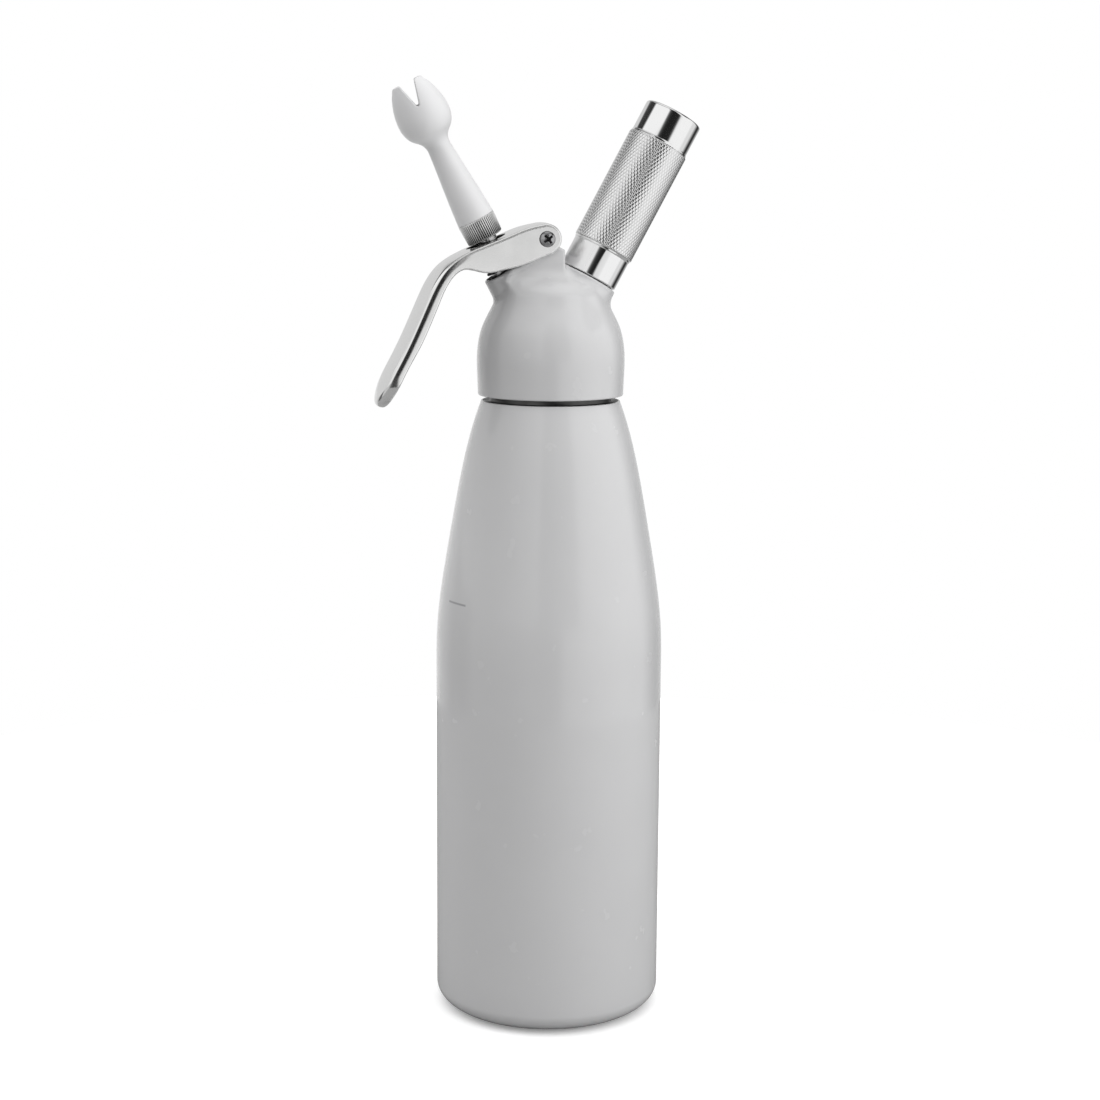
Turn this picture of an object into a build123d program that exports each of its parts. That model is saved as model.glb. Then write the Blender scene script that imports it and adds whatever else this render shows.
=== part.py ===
from build123d import *
import math
import os

os.makedirs("parts", exist_ok=True)

# Whipped cream dispenser: aluminium bottle, screw-on head with a squeeze lever,
# a tilted dispensing valve with a tulip tip, and a tilted holder for an 8 g gas
# charger.  Millimetres, +Z up.  The origin is the centre of the bottle's base.
# The mechanism lies in the XZ plane: nozzle and lever toward -X, charger toward +X.

# ------------------------------------------------------------ driving dimensions
bottle_r = 42.5            # bottle body radius
bottle_wall = 1.8
base_corner_r = 9.8        # radial size of the rounded base corner
base_corner_h = 7.5        # axial size of the rounded base corner
shoulder_top_r = 25.5      # where the shoulder stops under the head
shoulder_top_z = 232.1
neck_root_r = 22.6         # bottle neck, thread root
neck_crest_r = 23.5        # bottle neck, thread crest
neck_bore_r = 20.2
neck_rim_z = 249.0
neck_pitch = 3.0

head_base_z = 234.0        # lower edge of the head's skirt
head_bore_r = 23.8         # inner thread crest of the head
head_groove_r = 24.6       # inner thread root of the head
seal_recess_r = 24.3
seal_recess_z = 251.05
cavity_r = 19.4
waist_r = 21.6

nozzle_x, nozzle_z = -24.46, 291.15     # nozzle datum, where the stem leaves the lever
nozzle_tilt = 27.65                     # degrees from vertical, toward -X
charger_x, charger_z = 13.72, 277.35    # centre of the charger holder's seat
charger_tilt = 28.42                    # degrees from vertical, toward +X
pivot_x, pivot_z = -3.8, 291.3          # lever pivot

tower_w = 18.0             # width of the tower between the lever's cheeks
lever_w = 22.0
lever_wall = 1.8
lever_plate = 1.5
nose_r = 5.9
boss_r = 7.5
boss_top_s = -13.5         # along the nozzle axis
port_r = 11.6
holder_r = 11.0            # smooth bands of the charger holder
knurl_r = 11.55
holder_len = 67.4
stem_r = 4.0
stem_bore_r = 2.6

# ------------------------------------------------------------ datum planes
tn, tc = math.radians(nozzle_tilt), math.radians(charger_tilt)
# local x of each plane is the radius, local y runs outward along the axis
NOZ = Plane(origin=(nozzle_x, 0, nozzle_z), x_dir=(math.cos(tn), 0, math.sin(tn)), z_dir=(0, -1, 0))
CHG = Plane(origin=(charger_x, 0, charger_z), x_dir=(math.cos(tc), 0, -math.sin(tc)), z_dir=(0, -1, 0))
NOZ_DIR = (-math.sin(tn), 0, math.cos(tn))
CHG_DIR = (math.sin(tc), 0, math.cos(tc))
NOZ_AXIS = Axis((nozzle_x, 0, nozzle_z), NOZ_DIR)
CHG_AXIS = Axis((charger_x, 0, charger_z), CHG_DIR)


def across_nozzle(s, spin=0.0):
    """Plane square to the nozzle axis at distance s, normal pointing outward."""
    o = (nozzle_x + NOZ_DIR[0] * s, 0, nozzle_z + NOZ_DIR[2] * s)
    c, d = math.cos(spin), math.sin(spin)
    return Plane(origin=o, x_dir=(math.cos(tn) * c, d, math.sin(tn) * c), z_dir=NOZ_DIR)


def across_charger(s):
    """Plane square to the charger axis at distance s, normal pointing outward."""
    o = (charger_x + CHG_DIR[0] * s, 0, charger_z + CHG_DIR[2] * s)
    return Plane(origin=o, x_dir=(math.cos(tc), 0, -math.sin(tc)), z_dir=CHG_DIR)


def ridges(r0, r1, z0, z1, pitch, crest):
    """Points up a threaded wall: roots at r0, crests of width crest at r1."""
    pts = []
    n = int(round((z1 - z0) / pitch))
    flank = (pitch - 2 * crest) / 2
    for i in range(n):
        z = z0 + i * pitch
        pts += [(r0, z), (r1, z + flank), (r1, z + flank + crest), (r0, z + 2 * flank + crest)]
    return pts


# ------------------------------------------------------------ bottle
shoulder = [(42.3, 145.5), (41.7, 152.9), (40.78, 160.6), (39.65, 168.2), (38.45, 175.8),
            (37.12, 183.3), (35.78, 190.9), (34.42, 198.4), (32.98, 205.9), (31.3, 213.4),
            (29.4, 220.9), (27.75, 226.2), (26.6, 229.6), (25.95, 231.4)]
inner_shoulder = [(40.45, 145.2), (39.85, 152.2), (38.95, 159.6), (37.85, 167.2), (36.65, 174.8),
                  (35.35, 182.3), (34.0, 189.9), (32.65, 197.4), (31.2, 204.8), (29.5, 212.2),
                  (27.55, 219.2), (25.2, 225.0), (22.6, 228.6)]
with BuildPart() as bottle:
    with BuildSketch(Plane.XZ):
        with BuildLine():
            Line((28.5, 0), (bottle_r - base_corner_r, 0))
            EllipticalCenterArc((bottle_r - base_corner_r, base_corner_h), base_corner_r, base_corner_h,
                                start_angle=270, arc_size=90)
            Line((bottle_r, base_corner_h), (bottle_r, 138.0))
            Spline([(bottle_r, 138.0)] + shoulder, tangents=[(0, 1), (-0.38, 1)])
            Polyline([shoulder[-1], (shoulder_top_r, shoulder_top_z), (23.4, shoulder_top_z),
                      (neck_root_r, 233.2), (neck_root_r, 235.2)]
                     + ridges(neck_root_r, neck_crest_r, 235.6, 244.6, neck_pitch, 0.7)
                     + [(neck_root_r, 247.6), (neck_root_r - 0.8, neck_rim_z), (neck_bore_r + 0.4, neck_rim_z),
                        (neck_bore_r, neck_rim_z - 0.4), (neck_bore_r, 232.4)])
            Spline([(neck_bore_r, 232.4)] + inner_shoulder[::-1] + [(bottle_r - bottle_wall, 138.0)],
                   tangents=[(0, -1), (0, -1)])
            Line((bottle_r - bottle_wall, 138.0), (bottle_r - bottle_wall, 9.6))
            Spline([(bottle_r - bottle_wall, 9.6), (38.4, 4.0), (33.0, 1.9)], tangents=[(0, -1), (-1, 0)])
            Spline([(33.0, 1.9), (28.6, 2.9), (20.0, 6.2), (0, 8.6)], tangents=[(-1, 0), (-1, 0)])
            Line((0, 8.6), (0, 6.8))
            Spline([(0, 6.8), (19.4, 4.5), (26.4, 1.4), (28.5, 0)], tangents=[(1, 0), (0.75, -0.55)])
        make_face()
    revolve(axis=Axis.Z)
bottle.part.label = "bottle"
export_step(bottle.part, "parts/bottle.step")

# ------------------------------------------------------------ head gasket
with BuildPart() as head_gasket:
    with BuildSketch(Plane.XY.offset(neck_rim_z + 0.05)):
        Circle(23.9)
        Circle(20.4, mode=Mode.SUBTRACT)
    extrude(amount=1.95)
head_gasket.part.label = "head_gasket"
export_step(head_gasket.part, "parts/head_gasket.step")

# ------------------------------------------------------------ head casting
with BuildPart() as head:
    # skirt, dome and waist
    with BuildSketch(Plane.XZ):
        with BuildLine():
            Line((0, head_base_z), (26.3, head_base_z))
            Line((26.3, head_base_z), (26.82, 234.6))
            Spline([(26.82, 234.6), (27.03, 237.6), (27.25, 242.0), (27.38, 246.9),
                    (27.2, 250.7), (26.75, 254.2), (25.86, 257.9), (24.34, 261.6), (22.6, 264.8),
                    (waist_r, 267.6), (20.9, 270.2), (19.0, 273.0), (15.5, 275.6), (10.0, 277.8), (0, 279.0)])
            Line((0, 279.0), (0, head_base_z))
        make_face()
    revolve(axis=Axis.Z)
    # tower and web between the lever's cheeks
    with BuildSketch(Plane.XZ.offset(-tower_w / 2)):
        with BuildLine():
            Polyline([(pivot_x, pivot_z), (-0.21, 289.31), (3.4, 287.3), (3.4, 268.0), (-12.0, 268.0),
                      (-18.6, 276.0), (-16.4, 280.12), (-11.55, 282.67), (-8.6, 284.4), (-7.9, 286.0),
                      (-7.9, pivot_z)], close=True)
        make_face()
        with Locations((pivot_x, pivot_z)):
            Circle(4.1)
    extrude(amount=tower_w)
    # valve boss
    with BuildSketch(across_nozzle(boss_top_s)):
        Circle(boss_r)
    extrude(amount=-24.0)
    # charger port
    with BuildSketch(across_charger(-0.3)):
        Circle(port_r)
    extrude(amount=-17.0)
    # inner thread, seal recess and cream cavity
    with BuildSketch(Plane.XZ):
        with BuildLine():
            Polyline([(0, head_base_z - 1), (25.0, head_base_z - 1), (24.6, head_base_z), (head_bore_r, 234.8)]
                     + [(r, z) for r, z in ridges(head_bore_r, head_groove_r, 235.4, 244.4, neck_pitch, 0.8)]
                     + [(head_bore_r, 245.2), (seal_recess_r, 246.0), (seal_recess_r, seal_recess_z),
                        (cavity_r, seal_recess_z), (cavity_r, 255.0), (18.2, 258.2), (14.5, 260.4),
                        (0, 261.2)], close=True)
        make_face()
    revolve(axis=Axis.Z, mode=Mode.SUBTRACT)
    # valve: chamber, annulus, guide bore and spring pocket on the nozzle axis
    with BuildSketch(NOZ):
        with BuildLine():
            Polyline([(0, -12.0), (6.4, -12.0), (6.4, -20.0), (6.0, -20.0), (6.0, -28.0), (4.8, -28.0),
                      (4.8, -32.0), (8.0, -32.0), (8.0, -40.0), (0, -40.0)], close=True)
        make_face()
    revolve(axis=NOZ_AXIS, mode=Mode.SUBTRACT)
    # charger port: socket for the inlet stub, pin chamber, check valve bore
    with BuildSketch(CHG):
        with BuildLine():
            Polyline([(0, 2.0), (8.0, 2.0), (8.0, -12.0), (3.0, -12.0), (3.0, -26.0), (0, -26.0)], close=True)
        make_face()
    revolve(axis=CHG_AXIS, mode=Mode.SUBTRACT)
    # pivot bore
    with BuildSketch(Plane.XZ.offset(-tower_w / 2 - 1)):
        with Locations((pivot_x, pivot_z)):
            Circle(2.6)
    extrude(amount=tower_w + 2, mode=Mode.SUBTRACT)
head.part.label = "head"
export_step(head.part, "parts/head.step")

# ------------------------------------------------------------ pivot: bush and screws
with BuildPart() as pivot_bush:
    with BuildSketch(Plane.XZ.offset(-tower_w / 2)):
        with Locations((pivot_x, pivot_z)):
            Circle(2.6)
            Circle(1.5, mode=Mode.SUBTRACT)
    extrude(amount=tower_w)
pivot_bush.part.label = "pivot_bush"
export_step(pivot_bush.part, "parts/pivot_bush.step")

with BuildPart() as pivot_screws:
    for side in (-1, 1):
        # pan head, shoulder through the cheek, threaded end in the bush
        with BuildSketch(Plane(origin=(pivot_x, 0, pivot_z), x_dir=(1, 0, 0), z_dir=(0, 0, 1))):
            with BuildLine():
                Polyline([(0, side * 3.0), (1.5, side * 3.0), (1.5, side * 9.0), (2.0, side * 9.0),
                          (2.0, side * 11.1), (2.9, side * 11.1), (2.9, side * 11.9), (2.5, side * 12.6),
                          (1.5, side * 12.95), (0, side * 13.05)], close=True)
            make_face()
        revolve(axis=Axis((pivot_x, 0, pivot_z), (0, 1, 0)))
        # cross recess
        with BuildSketch(Plane(origin=(pivot_x, side * 13.2, pivot_z), x_dir=(1, 0, 0), z_dir=(0, side, 0))):
            Rectangle(3.4, 0.75)
            Rectangle(0.75, 3.4)
        extrude(amount=-1.7, taper=8, mode=Mode.SUBTRACT)
pivot_screws.part.label = "pivot_screws"
export_step(pivot_screws.part, "parts/pivot_screws.step")

# ------------------------------------------------------------ lever
lever_top = [(-5.4, 297.0), (-10.8, 295.75), (-18.2, 292.8), (-25.5, 289.9), (-32.1, 287.25), (-36.9, 285.1),
             (-41.6, 282.0), (-45.9, 276.8), (-48.95, 270.9), (-51.3, 265.6), (-53.9, 259.8), (-57.0, 253.2),
             (-60.6, 246.3), (-63.1, 241.4), (-64.8, 236.8), (-65.5, 232.6), (-65.2, 228.6)]
lever_low = [(-61.6, 228.6), (-59.9, 233.6), (-57.9, 239.2), (-55.7, 243.4), (-52.3, 248.9), (-50.45, 252.0),
             (-46.8, 259.7), (-43.1, 268.4), (-41.3, 272.6), (-39.5, 275.8), (-37.7, 278.1), (-35.8, 279.6),
             (-33.9, 280.3), (-32.1, 280.25), (-28.5, 279.4), (-24.9, 279.1), (-21.2, 279.8), (-17.6, 280.6),
             (-13.9, 281.5), (-10.2, 282.8), (-6.5, 284.3), (-2.8, 285.8)]


def inset(pts, d):
    """Shift an open line of points to its left by d."""
    out = []
    for i, (x, z) in enumerate(pts):
        x0, z0 = pts[max(i - 1, 0)]
        x1, z1 = pts[min(i + 1, len(pts) - 1)]
        n = math.hypot(x1 - x0, z1 - z0)
        out.append((x - (z1 - z0) / n * d, z + (x1 - x0) / n * d))
    return out


inner_top = inset(lever_top, lever_plate)
# the room between the cheeks, cut out of the lever
with BuildPart() as lever_room:
    with BuildSketch(Plane.XZ.offset(-lever_w / 2 + lever_wall)):
        with BuildLine():
            Spline(inner_top[2:-1])
            Polyline([inner_top[-2], (-58.0, 228.0), (-30.0, 240.0), (10.0, 270.0),
                      (pivot_x + 14 * math.cos(math.radians(-24)), pivot_z + 14 * math.sin(math.radians(-24))),
                      (pivot_x, pivot_z), (-10.6, 293.9), inner_top[2]])
        make_face()
        with Locations((pivot_x, pivot_z)):
            Circle(nose_r - lever_plate)
    extrude(amount=lever_w - 2 * lever_wall)
    with BuildSketch(Plane.YZ.offset(-80)):
        with Locations((0, 241.0)):
            Circle(lever_w / 2 - lever_wall)
        with Locations((0, 241.0 + 35)):
            Rectangle(lever_w - 2 * lever_wall, 70)
    extrude(amount=95, mode=Mode.INTERSECT)

with BuildPart() as lever:
    with BuildSketch(Plane.XZ.offset(-lever_w / 2)):
        with BuildLine():
            Spline(lever_top)
            Line(lever_top[-1], lever_low[0])
            Spline(lever_low)
            Polyline([lever_low[-1], (pivot_x, pivot_z - 2), lever_top[0]])
        make_face()
        with BuildLine():
            Polyline([(pivot_x - 3, pivot_z), (-2.8, 285.8), (1.35, 288.25), (pivot_x, pivot_z + 3)], close=True)
        make_face()
        with Locations((pivot_x, pivot_z)):
            Circle(nose_r)
    extrude(amount=lever_w)
    # rounded end of the handle
    with BuildSketch(Plane.YZ.offset(-80)):
        with Locations((0, 241.0)):
            Circle(lever_w / 2)
        with Locations((0, 241.0 + 35)):
            Rectangle(lever_w, 70)
    extrude(amount=95, mode=Mode.INTERSECT)
    add(lever_room.part, mode=Mode.SUBTRACT)
    # oval hole for the valve stem
    with BuildSketch(Plane(origin=(-24.6, 0, 290.2), x_dir=(0.929, 0, 0.369), z_dir=(-0.369, 0, 0.929))):
        SlotOverall(15.0, 13.4)
    extrude(amount=4, both=True, mode=Mode.SUBTRACT)
    # pivot holes
    with BuildSketch(Plane.XZ.offset(-lever_w / 2 - 1)):
        with Locations((pivot_x, pivot_z)):
            Circle(2.05)
    extrude(amount=lever_w + 2, mode=Mode.SUBTRACT)
lever.part.label = "lever"
export_step(lever.part, "parts/lever.step")

# ------------------------------------------------------------ valve
with BuildPart() as piston:
    with BuildSketch(NOZ):
        with BuildLine():
            Polyline([(stem_bore_r, 7.6), (3.6, 7.6), (stem_r, 7.2), (stem_r, -33.4), (6.0, -33.4), (6.0, -35.6),
                      (5.4, -36.4), (0, -36.4), (0, -32.6), (stem_bore_r, -32.0)], close=True)
        make_face()
    revolve(axis=NOZ_AXIS)
    for spin in (0.0, 90.0):
        with BuildSketch(Plane(origin=(nozzle_x - NOZ_DIR[0] * 30.4, 0, nozzle_z - NOZ_DIR[2] * 30.4),
                               x_dir=NOZ_DIR,
                               z_dir=(0, 1, 0) if spin == 0.0 else (math.cos(tn), 0, math.sin(tn)))):
            Circle(1.0)
        extrude(amount=5, both=True, mode=Mode.SUBTRACT)
piston.part.label = "piston"
export_step(piston.part, "parts/piston.step")

with BuildPart() as valve_seal:
    with BuildSketch(across_nozzle(-33.4)):
        Circle(6.0)
        Circle(stem_r + 0.02, mode=Mode.SUBTRACT)
    extrude(amount=1.35)
valve_seal.part.label = "valve_seal"
export_step(valve_seal.part, "parts/valve_seal.step")

with BuildPart() as stem_seal:
    with BuildSketch(across_nozzle(-27.98)):
        Circle(5.97)
        Circle(stem_r + 0.06, mode=Mode.SUBTRACT)
    extrude(amount=1.95)
stem_seal.part.label = "stem_seal"
export_step(stem_seal.part, "parts/stem_seal.step")

with BuildPart() as stem_guide:
    with BuildSketch(across_nozzle(-26.0)):
        Circle(5.99)
        Circle(stem_r + 0.05, mode=Mode.SUBTRACT)
    extrude(amount=6.0)
stem_guide.part.label = "stem_guide"
export_step(stem_guide.part, "parts/stem_guide.step")

with BuildPart() as spring_cap:
    with BuildSketch(NOZ):
        with BuildLine():
            Polyline([(stem_r + 0.02, -7.6), (5.8, -7.6), (5.8, -5.4), (8.3, -5.4), (8.3, -4.4), (6.4, -3.6),
                      (stem_r + 0.02, -3.3)], close=True)
        make_face()
    revolve(axis=NOZ_AXIS)
spring_cap.part.label = "spring_cap"
export_step(spring_cap.part, "parts/spring_cap.step")

spring_r, spring_wire = 5.1, 0.5
with BuildPart() as valve_spring:
    with BuildLine():
        coil = Helix(pitch=2.1, height=11.1, radius=spring_r,
                     center=(nozzle_x - NOZ_DIR[0] * 19.4, 0, nozzle_z - NOZ_DIR[2] * 19.4), direction=NOZ_DIR)
    with BuildSketch(Plane(origin=coil @ 0, z_dir=coil % 0)):
        Circle(spring_wire)
    sweep(path=coil, is_frenet=True)
valve_spring.part.label = "valve_spring"
export_step(valve_spring.part, "parts/valve_spring.step")

# ------------------------------------------------------------ tip
with BuildPart() as tip_collar:
    with BuildSketch(NOZ):
        with BuildLine():
            Polyline([(stem_r + 0.05, 0.3), (6.3, 0.3), (6.75, 0.75), (7.0, 7.5), (7.0, 8.0), (5.3, 8.0),
                      (5.3, 12.0), (3.0, 12.0), (3.0, 7.8), (stem_r + 0.05, 7.8)], close=True)
        make_face()
    revolve(axis=NOZ_AXIS)
tip_collar.part.label = "tip_collar"
export_step(tip_collar.part, "parts/tip_collar.step")

tip_out = [(7.0, 8.0), (6.35, 16.0), (5.15, 28.3), (4.45, 35.6), (4.4, 37.6), (4.9, 39.4), (6.3, 41.2), (7.9, 42.7),
           (9.1, 44.8), (9.75, 47.2), (9.85, 49.6), (9.55, 52.6), (8.95, 55.6), (8.1, 58.4), (7.1, 60.9),
           (6.4, 62.4)]
tip_in = [(5.2, 62.4), (5.9, 60.6), (6.9, 58.0), (7.7, 55.3), (8.3, 52.4), (8.55, 49.6), (8.4, 47.3), (7.8, 45.2),
          (6.7, 43.6), (5.2, 42.1), (3.7, 40.4), (3.1, 38.6), (3.1, 36.0), (3.7, 28.0), (4.5, 18.0), (4.9, 12.0)]
with BuildPart() as decorator_tip:
    with BuildSketch(NOZ):
        with BuildLine():
            Line((5.3, 8.0), (7.0, 8.0))
            Spline(tip_out)
            Line(tip_out[-1], tip_in[0])
            Spline(tip_in)
            Polyline([tip_in[-1], (4.9, 12.05), (5.3, 12.05), (5.3, 8.0)])
        make_face()
    revolve(axis=NOZ_AXIS)
    # four V notches make the tulip's prongs
    for spin in (math.radians(-98.5), math.radians(-8.5)):
        r_dir = (math.cos(tn) * math.cos(spin), math.sin(spin), math.sin(tn) * math.cos(spin))
        x_dir = (-math.cos(tn) * math.sin(spin), math.cos(spin), -math.sin(tn) * math.sin(spin))
        with BuildSketch(Plane(origin=(nozzle_x, 0, nozzle_z), x_dir=x_dir, z_dir=r_dir)):
            with BuildLine():
                Polyline([(-0.5, 53.4), (0.5, 53.4), (3.1, 63.0), (-3.1, 63.0)], close=True)
            make_face()
        extrude(amount=12, both=True, mode=Mode.SUBTRACT)
decorator_tip.part.label = "decorator_tip"
export_step(decorator_tip.part, "parts/decorator_tip.step")

# ------------------------------------------------------------ charger port pieces
with BuildPart() as charger_inlet:
    with BuildSketch(CHG):
        with BuildLine():
            Polyline([(4.9, -11.9), (8.0, -11.9), (8.0, 0.2)]
                     + ridges(9.1, 9.6, 0.9, 9.9, 1.5, 0.35)
                     + [(9.1, 10.6), (8.6, 11.4), (7.9, 11.4), (4.9, 7.4)], close=True)
        make_face()
    revolve(axis=CHG_AXIS)
charger_inlet.part.label = "charger_inlet"
export_step(charger_inlet.part, "parts/charger_inlet.step")

with BuildPart() as piercing_pin:
    with BuildSketch(CHG):
        with BuildLine():
            Polyline([(0, -6.6), (4.85, -6.6), (4.85, -2.7), (0.9, -2.7), (0.9, 0.4), (0, 1.7)], close=True)
        make_face()
    revolve(axis=CHG_AXIS)
    with BuildSketch(across_charger(-7.0)):
        with PolarLocations(3.0, 3):
            Circle(0.6)
    extrude(amount=6.0, mode=Mode.SUBTRACT)
piercing_pin.part.label = "piercing_pin"
export_step(piercing_pin.part, "parts/piercing_pin.step")

with BuildPart() as inlet_seal:
    with BuildSketch(across_charger(-2.65)):
        Circle(4.85)
        Circle(1.5, mode=Mode.SUBTRACT)
    extrude(amount=2.0)
inlet_seal.part.label = "inlet_seal"
export_step(inlet_seal.part, "parts/inlet_seal.step")

with BuildPart() as check_nipple:
    with BuildSketch(CHG):
        with BuildLine():
            Polyline([(0, -24.3), (2.4, -24.3), (2.4, -20.4), (2.98, -20.4), (2.98, -11.95), (4.4, -11.95),
                      (4.4, -10.2), (1.0, -10.2), (1.0, -22.6), (0, -22.6)], close=True)
        make_face()
    revolve(axis=CHG_AXIS)
    with BuildSketch(Plane(origin=(charger_x - CHG_DIR[0] * 21.9, 0, charger_z - CHG_DIR[2] * 21.9),
                           x_dir=CHG_DIR, z_dir=(0, 1, 0))):
        Circle(0.5)
    extrude(amount=4, both=True, mode=Mode.SUBTRACT)
check_nipple.part.label = "check_nipple"
export_step(check_nipple.part, "parts/check_nipple.step")

with BuildPart() as check_sleeve:
    with BuildSketch(across_charger(-23.8)):
        Circle(3.3)
        Circle(2.42, mode=Mode.SUBTRACT)
    extrude(amount=3.3)
check_sleeve.part.label = "check_sleeve"
export_step(check_sleeve.part, "parts/check_sleeve.step")

# ------------------------------------------------------------ gas charger
with BuildPart() as gas_charger:
    with BuildSketch(CHG):
        with BuildLine():
            Line((0, 62.7), (0, 64.4))
            CenterArc((0, 55.5), 8.9, 0, 90)
            Polyline([(8.9, 55.5), (8.9, 19.4), (8.7, 17.6), (8.1, 15.8), (7.1, 14.2), (5.9, 12.9), (4.9, 11.7),
                      (4.4, 10.2), (4.4, 0.0), (4.0, -0.6), (1.3, -0.6), (1.3, 3.0), (3.0, 3.0), (3.0, 10.8),
                      (3.6, 12.7), (4.7, 14.1), (5.9, 15.4), (6.7, 16.7), (7.1, 18.2), (7.2, 19.6), (7.2, 55.5)])
            CenterArc((0, 55.5), 7.2, 0, 90)
        make_face()
    revolve(axis=CHG_AXIS)
gas_charger.part.label = "gas_charger"
export_step(gas_charger.part, "parts/gas_charger.step")

# ------------------------------------------------------------ charger holder
with BuildPart() as charger_holder:
    with BuildSketch(CHG):
        with BuildLine():
            Polyline([(10.6, 0.0), (holder_r, 0.3), (holder_r, 11.1), (knurl_r, 11.7), (knurl_r, 55.2),
                      (holder_r, 55.8), (holder_r, holder_len - 1.0)])
            Spline([(holder_r, holder_len - 1.0), (10.6, holder_len - 0.25), (9.6, holder_len)],
                   tangents=[(0, 1), (-1, 0.05)])
            Polyline([(9.6, holder_len), (0, holder_len + 0.25), (0, 64.7)])
            Spline([(0, 64.7), (5.6, 63.2), (8.9, 58.0), (9.15, 55.6)], tangents=[(1, 0), (0, -1)])
            Polyline([(9.15, 55.6), (9.15, 12.6), (9.9, 12.2)]
                     + [(r, z) for r, z in [(9.9, 11.0), (10.3, 10.6), (10.3, 10.1), (9.9, 9.7), (9.9, 9.5),
                                            (10.3, 9.1), (10.3, 8.6), (9.9, 8.2), (9.9, 8.0), (10.3, 7.6),
                                            (10.3, 7.1), (9.9, 6.7), (9.9, 6.5), (10.3, 6.1), (10.3, 5.6),
                                            (9.9, 5.2), (9.9, 5.0), (10.3, 4.6), (10.3, 4.1), (9.9, 3.7),
                                            (9.9, 3.5), (10.3, 3.1), (10.3, 2.6), (9.9, 2.2), (9.9, 0.6)]]
                     + [(10.6, 0.0)])
        make_face()
    revolve(axis=CHG_AXIS)
charger_holder.part.label = "charger_holder"
export_step(charger_holder.part, "parts/charger_holder.step")
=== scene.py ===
import math

import bmesh
import bpy
import numpy as np
from mathutils import Matrix, Vector


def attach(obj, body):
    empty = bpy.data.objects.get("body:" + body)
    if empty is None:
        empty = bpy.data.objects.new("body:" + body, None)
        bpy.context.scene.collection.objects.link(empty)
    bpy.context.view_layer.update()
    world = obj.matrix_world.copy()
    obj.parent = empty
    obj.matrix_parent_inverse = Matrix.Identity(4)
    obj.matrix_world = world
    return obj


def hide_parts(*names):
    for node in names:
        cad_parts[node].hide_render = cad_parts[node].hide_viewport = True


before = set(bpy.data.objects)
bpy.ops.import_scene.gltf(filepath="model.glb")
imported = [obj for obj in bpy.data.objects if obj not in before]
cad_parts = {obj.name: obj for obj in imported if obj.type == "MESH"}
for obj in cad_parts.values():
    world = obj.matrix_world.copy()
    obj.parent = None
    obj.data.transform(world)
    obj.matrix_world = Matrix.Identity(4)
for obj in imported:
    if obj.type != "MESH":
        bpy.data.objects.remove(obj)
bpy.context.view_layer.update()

MM = 0.001

# ---------------------------------------------------------------- camera
PSI, PITCH, ROLL = math.radians(12.0), math.radians(9.56), math.radians(0.37)
ahead = Vector((math.sin(PSI), math.cos(PSI), 0.0))
right = Vector((math.cos(PSI), -math.sin(PSI), 0.0))
look = ahead * math.cos(PITCH) - Vector((0, 0, 1)) * math.sin(PITCH)
up = ahead * math.sin(PITCH) + Vector((0, 0, 1)) * math.cos(PITCH)
cam_r = right * math.cos(ROLL) + up * math.sin(ROLL)
cam_u = -right * math.sin(ROLL) + up * math.cos(ROLL)
cam_data = bpy.data.cameras.new("camera")
cam_data.sensor_width = 36.0
cam_data.lens = 2132.0 * 36.0 / 1100.0
cam_data.clip_start, cam_data.clip_end = 0.02, 20.0
camera = bpy.data.objects.new("camera", cam_data)
place = -ahead * 0.790 + right * 0.0002 + Vector((0, 0, 0.3085))
camera.matrix_world = Matrix(((cam_r.x, cam_u.x, -look.x, place.x), (cam_r.y, cam_u.y, -look.y, place.y),
                              (cam_r.z, cam_u.z, -look.z, place.z), (0, 0, 0, 1)))
bpy.context.scene.collection.objects.link(camera)
bpy.context.scene.camera = camera

# ---------------------------------------------------------------- dimensions shared with the CAD, in millimetres
TN, TC = math.radians(27.65), math.radians(28.42)
NOZ = (np.array([-24.46, 0, 291.15]), np.array([math.cos(TN), 0, math.sin(TN)]), np.array([0, 1.0, 0]),
       np.array([-math.sin(TN), 0, math.cos(TN)]))
CHG = (np.array([13.72, 0, 277.35]), np.array([math.cos(TC), 0, -math.sin(TC)]), np.array([0, 1.0, 0]),
       np.array([math.sin(TC), 0, math.cos(TC)]))
ROW = (np.zeros(3), np.array([1.0, 0, 0]), np.array([0, 1.0, 0]), np.array([0, 0, 1.0]))
PIVOT = (-3.8, 291.3)
LEVER_TOP = [(-5.4, 297.0), (-10.8, 295.75), (-18.2, 292.8), (-25.5, 289.9), (-32.1, 287.25), (-36.9, 285.1),
             (-41.6, 282.0), (-45.9, 276.8), (-48.95, 270.9), (-51.3, 265.6), (-53.9, 259.8), (-57.0, 253.2),
             (-60.6, 246.3), (-63.1, 241.4), (-64.8, 236.8), (-65.5, 232.6), (-65.2, 228.6)]
LEVER_LOW = [(-62.6, 228.6), (-60.1, 233.6), (-57.3, 239.2), (-55.1, 243.6), (-52.2, 248.9), (-50.45, 252.0),
             (-46.8, 259.7), (-43.1, 268.4), (-41.3, 272.6), (-39.5, 275.8), (-37.7, 278.1), (-35.8, 279.6),
             (-33.9, 280.3), (-32.1, 280.25), (-28.5, 279.4), (-24.9, 279.1), (-21.2, 279.8), (-17.6, 280.6),
             (-13.9, 281.5), (-10.2, 282.8), (-6.5, 284.3), (-2.8, 285.8)]


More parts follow.
